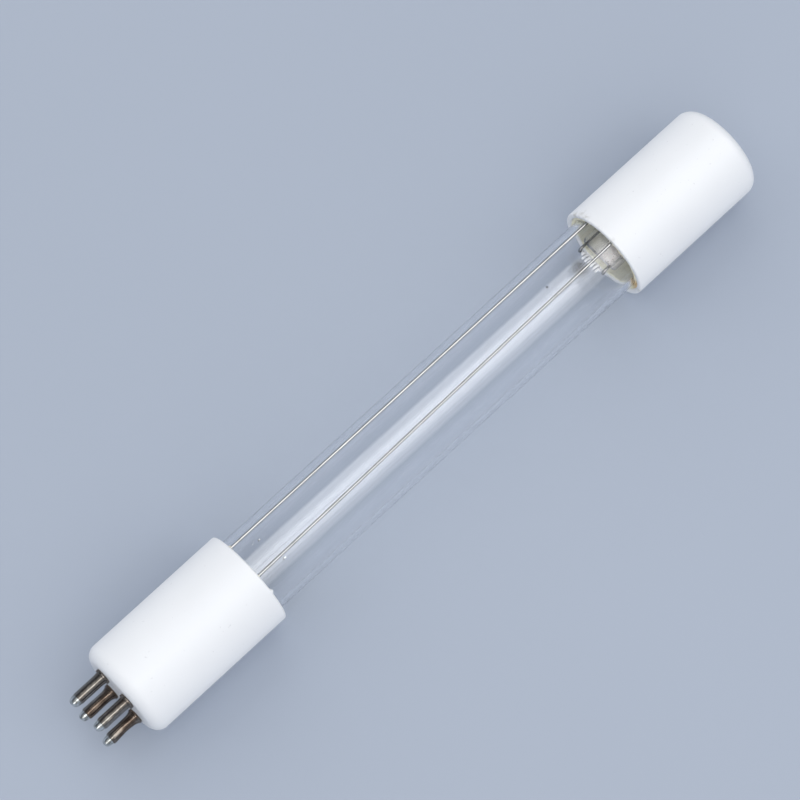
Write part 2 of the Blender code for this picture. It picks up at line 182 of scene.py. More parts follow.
def spread(finish, amount, from_low, from_high, to_low, to_high):
    """A value moved from one range to another, held inside it."""
    mapped = add_node(finish, "ShaderNodeMapRange", From_Min=from_low, From_Max=from_high, To_Min=to_low,
                      To_Max=to_high)
    join(finish, amount, mapped.inputs["Value"])
    return mapped.outputs["Result"]


def place_along(finish, axis, coordinates="Object"):
    """How far along X, Y or Z a place on the piece, or in the sky, lies."""
    place = add_node(finish, "ShaderNodeTexCoord")
    parts = add_node(finish, "ShaderNodeSeparateXYZ")
    join(finish, place.outputs[coordinates], parts.inputs["Vector"])
    return parts.outputs[axis]


def lay_over(finish, amount, shader):
    """Another shader over the finish's own, by an amount."""
    nodes = finish.node_tree.nodes
    mixer = add_node(finish, "ShaderNodeMixShader")
    join(finish, amount, mixer.inputs["Fac"])
    join(finish, nodes["Principled BSDF"].outputs["BSDF"], mixer.inputs[1])
    join(finish, shader, mixer.inputs[2])
    join(finish, mixer.outputs["Shader"], nodes["Material Output"].inputs["Surface"])


def met_by(finish, *rays):
    """1 where light is met by any of these kinds of ray."""
    path = add_node(finish, "ShaderNodeLightPath")
    met = path.outputs[rays[0]]
    for ray in rays[1:]:
        larger = add_node(finish, "ShaderNodeMath", operation="MAXIMUM")
        join(finish, met, larger.inputs[0])
        join(finish, path.outputs[ray], larger.inputs[1])
        met = larger.outputs["Value"]
    return met


floor_mesh = bpy.data.meshes.new("floor")
floor_corners = [(-FLOOR_HALF, -FLOOR_HALF, 0), (FLOOR_HALF, -FLOOR_HALF, 0),
                 (FLOOR_HALF, FLOOR_HALF, 0), (-FLOOR_HALF, FLOOR_HALF, 0)]
floor_mesh.from_pydata(floor_corners, [], [(0, 1, 2, 3)])
floor = bpy.data.objects.new("floor", floor_mesh)
bpy.context.scene.collection.objects.link(floor)
card = new_finish("floor_card", Roughness=0.8, Specular_IOR_Level=0.15)
paint(card, tones(card, mottle(card, 6.0), CARD_TONES), "Base Color")
card_place = add_node(card, "ShaderNodeTexCoord")
card_distance = add_node(card, "ShaderNodeVectorMath", operation="LENGTH")
join(card, card_place.outputs["Object"], card_distance.inputs[0])
far_out = spread(card, card_distance.outputs["Value"], FADE_START, FADE_END, 0.0, 1.0)
plain_look = add_node(card, "ShaderNodeEmission", Color=(*BACKDROP, 1.0))
lay_over(card, far_out, plain_look.outputs["Emission"])
floor.data.materials.append(card)

sky = bpy.data.worlds.new("sky")
sky.use_nodes = True
seen = met_by(sky, "Is Camera Ray", "Is Glossy Ray", "Is Transmission Ray")
upward = place_along(sky, "Z", "Generated")
overhead = spread(sky, upward, CEILING_START, CEILING_END, 0.0, 1.0)
seen_sky = blend_colors(sky, overhead, BACKDROP, CEILING)
sky_color = blend_colors(sky, seen, SKY_LIGHT, seen_sky)
join(sky, sky_color, sky.node_tree.nodes["Background"].inputs["Color"])
bpy.context.scene.world = sky
bpy.context.scene.view_settings.view_transform = "Standard"

# Quartz tube
# Clear fused quartz that lets the lamp's short ultraviolet out, drawn in long lengths, cut and polished in
# the flame. It has faint draw lines, a dark grey patch under the far filament and one dark speck.
TUBE_SIDES = 160
TUBE_WALL = 0.0010
tube_low, tube_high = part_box("quartz_tube")
# The solid tube's flat sides lie a little nearer to its axis than its corners
SOLID_SIDES = 64
TUBE_RADIUS = (tube_high.z - tube_low.z) / 2 / math.cos(math.pi / SOLID_SIDES)
TUBE_BORE = TUBE_RADIUS - TUBE_WALL
POLISHED_EDGE = TUBE_WALL * 0.35
DRAW_LINE_DEPTH = 0.000002
QUARTZ_CLEAR = (0.975, 0.978, 0.985)
QUARTZ_SHADE = (0.988, 0.992, 0.996)
DARK_PATCH_POINT = (0.04455, 0.0027, 0.0024)
DARK_PATCH_REACH = 0.0022
DARK_PATCH_GREY = (0.025, 0.025, 0.03)
SPECK_POINT = (0.03351, 0.0008, 0.01725)
SPECK_REACH = 0.00028
SPECK_GREY = (0.12, 0.11, 0.12)


def combine(finish, operation, first, second):
    """Two values put together, held between 0 and 1; each is a node's output or a number."""
    pair = add_node(finish, "ShaderNodeMath", operation=operation, use_clamp=True)
    for value, socket in ((first, pair.inputs[0]), (second, pair.inputs[1])):
        if isinstance(value, (int, float)):
            socket.default_value = value
        else:
            join(finish, value, socket)
    return pair.outputs["Value"]


def near_point(finish, point, reach, softness):
    """1 close to a point of the lamp, falling to 0 at its reach."""
    place = add_node(finish, "ShaderNodeTexCoord")
    away = add_node(finish, "ShaderNodeVectorMath", operation="DISTANCE")
    away.inputs[1].default_value = point
    join(finish, place.outputs["Object"], away.inputs[0])
    return spread(finish, away.outputs["Value"], reach * (1 - softness), reach, 1.0, 0.0)


def relief(finish, height, depth):
    """Surface relief of a depth in metres."""
    bump = add_node(finish, "ShaderNodeBump", Strength=1.0, Distance=depth)
    join(finish, height, bump.inputs["Height"])
    paint(finish, bump.outputs["Normal"], "Normal")


def let_light_through(finish, tint):
    """Light from the soft boxes and the floor goes straight through the glass, shaded by a tint."""
    clear = add_node(finish, "ShaderNodeBsdfTransparent", Color=(*tint, 1.0))
    lay_over(finish, met_by(finish, "Is Shadow Ray", "Is Diffuse Ray"), clear.outputs["BSDF"])


def full_turn(sides):
    """The angle of each of so many even sides round a circle."""
    return [2 * math.pi * side / sides for side in range(sides)]


def around(x, radius, clock):
    """The point at a radius from the lamp's axis, at a clock angle from straight up towards +Y."""
    return Vector((x, radius * math.sin(clock), AXIS_HEIGHT + radius * math.cos(clock)))


def edge(center_x, center_radius, radius, start, end, steps):
    """Points (x, radius) of a round edge, its angle measured from +X outwards, in degrees."""
    points = []
    for step in range(steps + 1):
        angle = math.radians(start + (end - start) * step / steps)
        points.append((center_x + radius * math.cos(angle), center_radius + radius * math.sin(angle)))
    return points


def skin(name, rows, closed, sharp=40):
    """A mesh through rows of points that go round: closed on itself, or with a fan over each end."""
    bm = bmesh.new()
    rows = [[bm.verts.new(point) for point in row] for row in rows]
    pairs = list(zip(rows, rows[1:]))
    if closed:
        pairs.append((rows[-1], rows[0]))
    for first, second in pairs:
        for side in range(len(first)):
            after = (side + 1) % len(first)
            bm.faces.new((first[side], first[after], second[after], second[side]))
    if not closed:
        for row in (rows[0], rows[-1]):
            middle = bm.verts.new(sum((vert.co for vert in row), Vector()) / len(row))
            for side in range(len(row)):
                bm.faces.new((row[side], row[(side + 1) % len(row)], middle))
    bmesh.ops.recalc_face_normals(bm, faces=bm.faces)
    mesh = bpy.data.meshes.new(name)
    bm.to_mesh(mesh)
    bm.free()
    mesh.shade_smooth()
    mesh.set_sharp_from_angle(angle=math.radians(sharp))
    return mesh


def add_piece(mesh, finish, slot, *nodes):
    """Link a piece of the lamp, give it its finish, and let it stand for its solids."""
    piece = bpy.data.objects.new(mesh.name, mesh)
    bpy.context.scene.collection.objects.link(piece)
    mesh.materials.append(finish)
    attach(piece, "root")
    if nodes:
        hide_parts(*nodes)


quartz = new_finish("clear_quartz", Transmission_Weight=1.0, IOR=1.50, Roughness=0.0)
# A dark grey patch on the glass under the far filament, broken up by fine noise
dark_patch = combine(quartz, "MULTIPLY", near_point(quartz, DARK_PATCH_POINT, DARK_PATCH_REACH, 0.6),
                spread(quartz, mottle(quartz, 3200.0), 0.4, 0.6, 0.35, 1.0))
speck = near_point(quartz, SPECK_POINT, SPECK_REACH, 0.4)
patched_quartz = blend_colors(quartz, dark_patch, QUARTZ_CLEAR, DARK_PATCH_GREY)
paint(quartz, blend_colors(quartz, speck, patched_quartz, SPECK_GREY), "Base Color")
relief(quartz, mottle(quartz, 1500.0, stretch=(0.004, 1.0, 1.0)), DRAW_LINE_DEPTH)
let_light_through(quartz, QUARTZ_SHADE)
low_edge = tube_low.x + POLISHED_EDGE
high_edge = tube_high.x - POLISHED_EDGE
tube_outline = edge(low_edge, TUBE_RADIUS - POLISHED_EDGE, POLISHED_EDGE, 90, 180, 4)
tube_outline += edge(low_edge, TUBE_BORE + POLISHED_EDGE, POLISHED_EDGE, 180, 270, 4)
tube_outline += [(tube_low.x + TUBE_WALL, TUBE_BORE), (tube_high.x - TUBE_WALL, TUBE_BORE)]
tube_outline += edge(high_edge, TUBE_BORE + POLISHED_EDGE, POLISHED_EDGE, -90, 0, 4)
tube_outline += edge(high_edge, TUBE_RADIUS - POLISHED_EDGE, POLISHED_EDGE, 0, 90, 4)
tube_outline += [(tube_high.x - TUBE_WALL, TUBE_RADIUS), (tube_low.x + TUBE_WALL, TUBE_RADIUS)]
tube_rings = [[around(x, radius, clock) for clock in full_turn(TUBE_SIDES)] for x, radius in tube_outline]
add_piece(skin("tube_glass", tube_rings, True), quartz, "quartz", "quartz_tube")

# Electrode stems
# Each end of the tube is closed by a glass stem: a flare fused to the tube, a flat press that the jaws
# made milky as they squeezed it round the two leads, and a stub of exhaust tube, tipped off in the flame.
# The press is milkiest in a band at one side, which is partly a painted highlight.
MOUNT_LENGTH = 0.0120
PRESS_HALF_WIDTH = 0.0041
PRESS_HALF_THICKNESS = 0.00125
EXHAUST_RADIUS = 0.0015
EXHAUST_LENGTH = 0.0030
FLARE_GAP = 0.0001
FLARE_LIP = TUBE_BORE - FLARE_GAP
FLARE_WALL = 0.0007
STEM_SIDES = 64
STEM_CLEAR = (0.97, 0.97, 0.96)
STEM_SHADE = (0.95, 0.945, 0.935)
PRESS_TONES = [(0.3, (0.86, 0.80, 0.77)), (0.7, (0.95, 0.91, 0.89))]
STEM_RIPPLE = 0.00004
# The milky band at one side of the press, partly a painted highlight, fades out between these places
CLOUD_AND_HIGHLIGHT_SIDES = ((0.0014, 0.0002), (-0.0032, -0.0024))
TIP_RADIUS = EXHAUST_RADIUS * 0.35
# Name, end of the glass, way into the tube and side shift of the press
MOUNTS = (("near", tube_low.x, 1, 0.0), ("far", tube_high.x, -1, 0.0005))
# Depth as a share of the mount's length, half thickness, half width, squareness and share of the side shift
STUB_SECTIONS = (
    (-EXHAUST_LENGTH / MOUNT_LENGTH, TIP_RADIUS, TIP_RADIUS, 2.0, 0.0),
    ((TIP_RADIUS - EXHAUST_LENGTH) / MOUNT_LENGTH, EXHAUST_RADIUS * 0.8, EXHAUST_RADIUS * 0.8, 2.0, 0.0),
    ((EXHAUST_RADIUS - EXHAUST_LENGTH) / MOUNT_LENGTH, EXHAUST_RADIUS, EXHAUST_RADIUS, 2.0, 0.0),
    (0.30, EXHAUST_RADIUS, EXHAUST_RADIUS, 2.0, 0.0),
    (0.36, EXHAUST_RADIUS * 1.3, EXHAUST_RADIUS * 1.3, 2.0, 0.0),
)
FLARE_INSIDE = (
    (0.36, EXHAUST_RADIUS * 1.3, EXHAUST_RADIUS * 1.3, 2.0, 0.0),
    (0.26, PRESS_HALF_WIDTH * 0.95, PRESS_HALF_WIDTH * 0.95, 2.0, 0.0),
    (0.10, FLARE_LIP - FLARE_WALL * 1.5, FLARE_LIP - FLARE_WALL * 1.5, 2.0, 0.0),
    (0.0, FLARE_LIP - FLARE_WALL, FLARE_LIP - FLARE_WALL, 2.0, 0.0),
)
FLARE_OUTSIDE = (
    (0.0, FLARE_LIP, FLARE_LIP, 2.0, 0.0),
    (0.12, FLARE_LIP * 0.95, FLARE_LIP * 0.95, 2.0, 0.0),
    (0.32, PRESS_HALF_WIDTH * 1.22, PRESS_HALF_WIDTH * 1.22, 2.0, 0.0),
    (0.47, PRESS_HALF_WIDTH * 0.90, PRESS_HALF_WIDTH * 1.04, 2.2, 0.5),
    (0.60, PRESS_HALF_THICKNESS * 1.35, PRESS_HALF_WIDTH, 2.8, 1.0),
    (0.72, PRESS_HALF_THICKNESS, PRESS_HALF_WIDTH, 3.6, 1.0),
    (1.01, PRESS_HALF_THICKNESS, PRESS_HALF_WIDTH, 3.6, 1.0),
    (1.07, PRESS_HALF_THICKNESS * 0.62, PRESS_HALF_WIDTH * 0.93, 3.0, 1.0),
)


def mount_point(mount, depth, across=0.0, up=0.0):
    """A point of an electrode mount: its depth from the glass's end, and its place off the middle."""
    glass_end, inward, shift = mount[1:]
    return Vector((glass_end + inward * depth, shift + across, AXIS_HEIGHT + up))


def eased_sections(sections, steps):
    """Sections with others between them, on a smooth curve through them all."""
    eased = [sections[0]]
    padded = (sections[0],) + tuple(sections) + (sections[-1],)
    for before, first, second, after in zip(padded, padded[1:], padded[2:], padded[3:]):
        for step in range(1, steps + 1):
            t = step / steps
            values = []
            for a, b, c, d in zip(before, first, second, after):
                start_slope = min(max((c - a) / 2, -abs(c - b) * 2), abs(c - b) * 2)
                end_slope = min(max((d - b) / 2, -abs(c - b) * 2), abs(c - b) * 2)
                values.append(b * (1 + 2 * t) * (1 - t) ** 2 + c * t * t * (3 - 2 * t)
                              + start_slope * t * (1 - t) ** 2 - end_slope * t * t * (1 - t))
            eased.append(tuple(values))
    return eased


def stem_ring(mount, section):
    share, half_up, half_across, squareness, shift_share = section
    points = []
    for angle in full_turn(STEM_SIDES):
        up = half_up * math.copysign(abs(math.cos(angle)) ** (2 / squareness), math.cos(angle))
        across = half_across * math.copysign(abs(math.sin(angle)) ** (2 / squareness), math.sin(angle))
        off_middle = (shift_share - 1) * mount[3]
        points.append(mount_point(mount, share * MOUNT_LENGTH, across + off_middle, up))
    return points


def stem_glass(mount):
    """Clear at the flare, pinkish milky in the press, the milk at one side partly a painted highlight."""
    glass = new_finish("stem_glass_" + mount[0], IOR=1.50)
    flare_x = mount_point(mount, MOUNT_LENGTH * 0.25).x
    press_x = mount_point(mount, MOUNT_LENGTH * 0.75).x
    pressed = spread(glass, place_along(glass, "X"), flare_x, press_x, 0.0, 1.0)
    across = place_along(glass, "Y")
    # The press's milk is strongest in a band at one side; there it is partly a painted highlight
    cloud_and_highlight_sides = [spread(glass, across, *side, 0.0, 1.0) for side in CLOUD_AND_HIGHLIGHT_SIDES]
    cloud_and_highlight_band = combine(glass, "MULTIPLY", *cloud_and_highlight_sides)
    pressed = combine(glass, "MULTIPLY", pressed, spread(glass, cloud_and_highlight_band, 0.0, 1.0, 0.15, 1.0))
    cloud = mottle(glass, 700.0, 4.0)
    milky = tones(glass, cloud, PRESS_TONES)
    paint(glass, blend_colors(glass, pressed, STEM_CLEAR, milky), "Base Color")
    paint(glass, spread(glass, pressed, 0.0, 1.0, 0.95, 0.45), "Transmission Weight")
    haze = spread(glass, cloud, 0.3, 0.7, 0.15, 0.45)
    paint(glass, combine(glass, "MULTIPLY", pressed, haze), "Roughness")
    relief(glass, mottle(glass, 1500.0, 2.0), STEM_RIPPLE)
    let_light_through(glass, STEM_SHADE)
    return glass


for mount in MOUNTS:
    stem_sections = eased_sections(STUB_SECTIONS, 4) + eased_sections(FLARE_INSIDE, 5)[1:]
    stem_sections += eased_sections(FLARE_OUTSIDE, 6)
    stem_rings = [stem_ring(mount, section) for section in stem_sections]
    stem_mesh = skin("stem_body_" + mount[0], stem_rings, False)
    add_piece(stem_mesh, stem_glass(mount), "stem_glass", "stem_" + mount[0])

# Filaments
# Each electrode is a coiled coil: fine tungsten wire wound on a mandrel and the winding coiled again. It is
# dipped in white emitter and hung by its legs in the hooks of the two leads. Its underside is darkened by
# painted shade.
FILAMENT_REACH = 0.0022
COIL_RADIUS = 0.00054
COIL_PITCH = 0.00068
COIL_HALF_TURNS = 2.9
COIL_RAMP = 0.35
LEG_END = 0.0034
KNEE = 0.0026
LEG_BEND = 0.0003
COAT_PAST_KNEE = 0.0002
COIL_BOW = 0.0006
WINDING_RADIUS = 0.000210
WINDING_PITCH = 0.000095
TUNGSTEN_RADIUS = 0.000023
EMITTER_RADIUS = 0.000220
COIL_POINTS = 48
WINDING_POINTS = 8
TUNGSTEN_TONES = [(0.3, (0.60, 0.60, 0.62)), (0.7, (0.82, 0.82, 0.84))]
EMITTER_TONES = [(0.35, (0.88, 0.88, 0.90)), (0.65, (0.97, 0.97, 0.98))]
EMITTER_PAINTED_SHADE = (0.10, 0.10, 0.11)
EMITTER_GRAIN = 0.00003
PAINTED_SHADE_BELOW = 0.0002


def frames_along(route):
    """The route's points, each with two directions across it that don't twist from one to the next."""
    tangents = []
    for index in range(len(route)):
        ahead = route[min(index + 1, len(route) - 1)]
        behind = route[max(index - 1, 0)]
        tangents.append((ahead - behind).normalized())
    normal = tangents[0].orthogonal().normalized()
    frames = []
    for point, tangent in zip(route, tangents):
        normal = (normal - tangent * normal.dot(tangent)).normalized()
        frames.append((point, normal, tangent.cross(normal)))
    return frames


def even_route(route, step):
    """Points at even steps along a route."""
    points = [route[0]]
    carried = 0.0
    for first, second in zip(route, route[1:]):
        length = (second - first).length
        if length == 0:
            continue
        at = step - carried
        while at <= length:
            points.append(first.lerp(second, at / length))
            at += step
        carried = length - (at - step)
    if (points[-1] - route[-1]).length > step * 0.3:
        points.append(route[-1])
    else:
        points[-1] = route[-1]
    return points


def drawn_wire(name, route, radius, sides, uneven=0.0):
    """A round wire along a route with softly rounded ends; uneven swells and thins it by that share."""
    rows = []
    frames = frames_along(route)
    for index, (point, normal, across) in enumerate(frames):
        from_end = min(index, len(frames) - 1 - index)
        size = radius * (0.6, 0.92, 1.0)[min(from_end, 2)]
        if uneven:
            size *= 1 + uneven * noise.noise(point * 2500)
        row = []
        for angle in full_turn(sides):
            row.append(point + (normal * math.cos(angle) + across * math.sin(angle)) * size)
        rows.append(row)
    return skin(name, rows, False, sharp=60)


def rounded(points, reach, steps):
    """A route with each corner rounded off, as wire bends in the hand."""
    route = [points[0]]
    for before, corner, after in zip(points, points[1:], points[2:]):
        trim = min(reach, (corner - before).length * 0.48, (after - corner).length * 0.48)
        start = corner + (before - corner).normalized() * trim
        end = corner + (after - corner).normalized() * trim
        for step in range(steps + 1):
            t = step / steps
            route.append(start * (1 - t) ** 2 + corner * 2 * t * (1 - t) + end * t ** 2)
    route.append(points[-1])
    return route


def coil_route(mount, leg_end):
    """The winding's middle: a leg, turns that grow out of it and bow into the tube, and the other leg."""
    hooks = mount_point(mount, MOUNT_LENGTH + FILAMENT_REACH)
    center = mount_point(mount, MOUNT_LENGTH + FILAMENT_REACH + COIL_BOW)
    half = COIL_HALF_TURNS + COIL_RAMP
    steps = int(2 * half * COIL_POINTS)
    turns_route = []
    for step in range(steps + 1):
        turns = half * (2 * step / steps - 1)
        grown = min((half - abs(turns)) / COIL_RAMP, 1.0)
        radius = COIL_RADIUS * grown * grown * (3 - 2 * grown)
        angle = 2 * math.pi * turns + math.pi
        off_middle = Vector((radius * math.sin(angle), turns * COIL_PITCH, -radius * math.cos(angle)))
        turns_route.append(center + off_middle)
    legs = []
    for way in (-1, 1):
        outward = Vector((0.0, way, 0.0))
        corners = [hooks + outward * leg_end, hooks + outward * KNEE, center + outward * half * COIL_PITCH,
                   center + outward * half * COIL_PITCH * 0.9]
        legs.append(rounded(corners, LEG_BEND, 6)[:-1])
    return legs[0] + turns_route + legs[1][::-1]


def wound(route):
    """The fine winding of tungsten wire round a route."""
    fine = even_route(route, WINDING_PITCH / WINDING_POINTS)
    winding = []
    for index, (point, normal, across) in enumerate(frames_along(fine)):
        angle = 2 * math.pi * index / WINDING_POINTS
        winding.append(point + (normal * math.cos(angle) + across * math.sin(angle)) * WINDING_RADIUS)
    return winding


tungsten = new_finish("drawn_tungsten", Metallic=1.0)
paint(tungsten, tones(tungsten, mottle(tungsten, 4000.0), TUNGSTEN_TONES), "Base Color")
paint(tungsten, spread(tungsten, mottle(tungsten, 6000.0), 0.3, 0.7, 0.2, 0.4), "Roughness")
emitter = new_finish("white_emitter", Roughness=0.35, Specular_IOR_Level=0.9)
white = tones(emitter, mottle(emitter, 5000.0), EMITTER_TONES)
# Painted shade: below the lamp's axis the emitter turns dark grey, standing in for the shade under the
# turns
painted_underside_shade = spread(emitter, place_along(emitter, "Z"), AXIS_HEIGHT - PAINTED_SHADE_BELOW, AXIS_HEIGHT, 1.0, 0.0)
paint(emitter, blend_colors(emitter, painted_underside_shade, white, EMITTER_PAINTED_SHADE), "Base Color")
relief(emitter, mottle(emitter, 9000.0), EMITTER_GRAIN)
for mount in MOUNTS:
    winding_name = "filament_winding_" + mount[0]
    winding = drawn_wire(winding_name, wound(coil_route(mount, LEG_END)), TUNGSTEN_RADIUS, sides=5)
    add_piece(winding, tungsten, "tungsten", "filament_" + mount[0])
    coat_route = coil_route(mount, KNEE + COAT_PAST_KNEE)
    coat = drawn_wire("filament_emitter_" + mount[0], coat_route, EMITTER_RADIUS, sides=10, uneven=0.15)
    add_piece(coat, emitter, "tungsten")

# Lead wires
# Drawn nickel wire, sealed in the press, its inner end bent over a filament leg. The far leads run straight
# out through the flare, and the near ones go on into two of the pins.
WIRE_RADIUS = 0.00025
WIRE_STEP = 0.00012
LEAD_SIDE = 0.0030
HOOK_GAP = 0.0001
LEAD_CRANK = WIRE_RADIUS + HOOK_GAP + WINDING_RADIUS
LEAD_BEND = 0.0012
BASE_FLOOR = 0.0045
RIVET_THICKNESS = 0.0005
PIN_LENGTH = 0.0076
SOLDER_LENGTH = 0.0014
PIN_HALF_WIDE = 0.00635 / 2
PIN_HALF_HIGH = 0.00792 / 2
PIN_TURN = math.radians(-9.3)
PIN_FACE = shell_low.x
WIRE_CUT_BACK = 0.0001
PIN_WIRE_END = PIN_LENGTH - SOLDER_LENGTH - WIRE_CUT_BACK
PIN_RUN_START = -(BASE_FLOOR + RIVET_THICKNESS + LEAD_BEND * 1.5)
SLEEVE_MIDDLE = 0.0030
SPLICE_GAP = 0.0001
NICKEL_TONES = [(0.3, (0.38, 0.376, 0.367)), (0.7, (0.50, 0.496, 0.486))]
NICKEL_OXIDE = (0.27, 0.26, 0.24)
NICKEL_LINES = 0.000001


def lead_hook(mount, side):
    """A lead's inner end from its tip to the press: over the filament's leg, then to the press's middle."""
    route = []
    for step in range(8):
        angle = math.radians(-30 + 30 * step)
        depth = MOUNT_LENGTH + FILAMENT_REACH + LEAD_CRANK * math.sin(angle)
        route.append(mount_point(mount, depth, side * LEAD_SIDE, -LEAD_CRANK * math.cos(angle)))
    route.append(mount_point(mount, MOUNT_LENGTH + FILAMENT_REACH * 0.5, side * LEAD_SIDE, LEAD_CRANK))
    route.append(mount_point(mount, MOUNT_LENGTH + FILAMENT_REACH * 0.1, side * LEAD_SIDE))
    return route


def pin_spot(number, outward):
    """A point on a pin's axis, at a distance out from the pin face."""
    side_y, side_up = ((1, 1), (1, -1), (-1, 1), (-1, -1))[number - 1]
    across = side_y * PIN_HALF_WIDE * math.cos(PIN_TURN) - side_up * PIN_HALF_HIGH * math.sin(PIN_TURN)
    upward = side_y * PIN_HALF_WIDE * math.sin(PIN_TURN) + side_up * PIN_HALF_HIGH * math.cos(PIN_TURN)
    return Vector((PIN_FACE - outward, across, AXIS_HEIGHT + upward))


def nickel_finish(name, dull):
    """Bright drawn nickel with fine draw lines along it; dull is the share of grey oxide."""
    nickel = new_finish(name, Metallic=1.0, Specular_Tint=(0.35, 0.35, 0.36, 1.0))
    lines = mottle(nickel, 9000.0, 2.0, (0.02, 1.0, 1.0))
    oxide = spread(nickel, mottle(nickel, 500.0), 0.62 - dull, 0.9 - dull, 0.0, 1.0)
    bright = tones(nickel, lines, NICKEL_TONES)
    paint(nickel, blend_colors(nickel, oxide, bright, NICKEL_OXIDE), "Base Color")
    paint(nickel, spread(nickel, oxide, 0.0, 1.0, 0.07, 0.30), "Roughness")
    relief(nickel, lines, NICKEL_LINES)
    return nickel


lead_nickel = nickel_finish("lead_nickel", dull=0.15)
near_mount, far_mount = MOUNTS
for number, side, pin_number in ((1, 1, 2), (2, -1, 4)):
    inner = lead_hook(near_mount, side)
    outer = [inner[-1], mount_point(near_mount, -LEAD_BEND, side * LEAD_SIDE),
             pin_spot(pin_number, PIN_RUN_START), pin_spot(pin_number, PIN_WIRE_END)]
    route = even_route(rounded(inner, LEAD_CRANK * 0.3, 3)[:-1] + rounded(outer, LEAD_BEND, 8), WIRE_STEP)
    lead = drawn_wire("lead_wire_near_%d" % number, route, WIRE_RADIUS, sides=14)
    add_piece(lead, lead_nickel, "nickel_wire", "lead_near_%d" % number)
for number, side in ((1, 1), (2, -1)):
    in_sleeve = mount_point(far_mount, SPLICE_GAP - SLEEVE_MIDDLE, side * LEAD_SIDE)
    inner = lead_hook(far_mount, side) + [in_sleeve]
    route = even_route(rounded(inner, LEAD_CRANK * 0.3, 3), WIRE_STEP)
    lead = drawn_wire("lead_wire_far_%d" % number, route, WIRE_RADIUS, sides=14)
    add_piece(lead, lead_nickel, "nickel_wire", "lead_far_%d" % number)

# Mercury droplets
# A little liquid mercury is sealed in the tube. It has gathered in two drops on the wall near the base,
# flattened where they sit, with a few tiny drops beside them.
MERCURY_TONES = [(0.3, (0.80, 0.81, 0.83)), (0.7, (0.90, 0.90, 0.92))]
# Place along and across from the first drop, and radius
SMALL_DROPS = ((-0.0014, 0.0001, 0.00015), (-0.0010, 0.0007, 0.00011), (0.0012, -0.0006, 0.00009))


def mercury_drop(name, center, radius):
    """A drop that is a little flatter towards the wall that it sits on."""
    bm = bmesh.new()
    bmesh.ops.create_icosphere(bm, subdivisions=4, radius=radius)
    wall = Vector((0.0, center.y, center.z - AXIS_HEIGHT)).normalized()
    for vert in bm.verts:
        towards = vert.co.dot(wall)
        swell = 1 + 0.05 * noise.noise(vert.co * 900 + center * 700)
        flat = 0.72 if towards > 0 else 0.9
        vert.co = (vert.co - wall * towards) * swell + wall * towards * flat
        vert.co += center + wall * radius * 0.28
    mesh = bpy.data.meshes.new(name)
    bm.to_mesh(mesh)
    bm.free()
    mesh.shade_smooth()
    return mesh


silver = new_finish("mercury_silver", Metallic=1.0)
paint(silver, tones(silver, mottle(silver, 2500.0), MERCURY_TONES), "Base Color")
paint(silver, spread(silver, mottle(silver, 5000.0), 0.3, 0.7, 0.02, 0.12), "Roughness")
drop_centers = []
for number in (1, 2):
    drop_low, drop_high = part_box("mercury_bead_%d" % number)
    drop_centers.append((drop_low + drop_high) / 2)
    drop = mercury_drop("mercury_drop_%d" % number, drop_centers[-1], (drop_high.x - drop_low.x) / 2)
    add_piece(drop, silver, "mercury", "mercury_bead_%d" % number)
for number, (along, across, radius) in enumerate(SMALL_DROPS, start=1):
    spot = drop_centers[0] + Vector((along, across, 0.0))
    clock = math.atan2(spot.y, spot.z - AXIS_HEIGHT)
    on_wall = around(spot.x, TUBE_BORE - radius * 1.02, clock)
    add_piece(mercury_drop("mercury_speck_%d" % number, on_wall, radius), silver, "mercury")

# Base shell
# The four-pin base: a white ceramic cup, pressed and fired in one piece, its edges softened by satin glaze.
# A small burr of glaze stands on its rim.
CAP_SIDES = 192
CAP_BORE = 0.00845
CAP_EDGE = 0.0024
CAP_RIM = 0.00035
FLOOR_EDGE = 0.0006
BURR_CLOCK = math.radians(-40.6)
BURR_HEIGHT = 0.0004
BURR_WIDTH = 0.00035
GLAZE_TONES = [(0.3, (0.862, 0.870, 0.888)), (0.7, (0.878, 0.886, 0.903))]
PORE_GREY = (0.66, 0.66, 0.68)
GLAZE_RIPPLE = 0.00002


def glazed_ceramic(name):
    """White ceramic under a satin glaze: a faint ripple, and a few pin holes and grey specks."""
    glaze = new_finish(name, Specular_IOR_Level=0.35, Coat_Weight=0.12, Coat_Roughness=0.12)
    cloud = mottle(glaze, 90.0, 4.0)
    pores = spread(glaze, mottle(glaze, 1500.0, 2.0), 0.72, 0.76, 0.0, 0.5)
    paint(glaze, spread(glaze, cloud, 0.3, 0.7, 0.40, 0.50), "Roughness")
    fine_ripple = spread(glaze, mottle(glaze, 2600.0, 1.0), 0.0, 1.0, 0.0, 0.15)
    relief(glaze, combine(glaze, "ADD", mottle(glaze, 260.0, 2.0), fine_ripple), GLAZE_RIPPLE)
    return glaze, blend_colors(glaze, pores, tones(glaze, cloud, GLAZE_TONES), PORE_GREY)


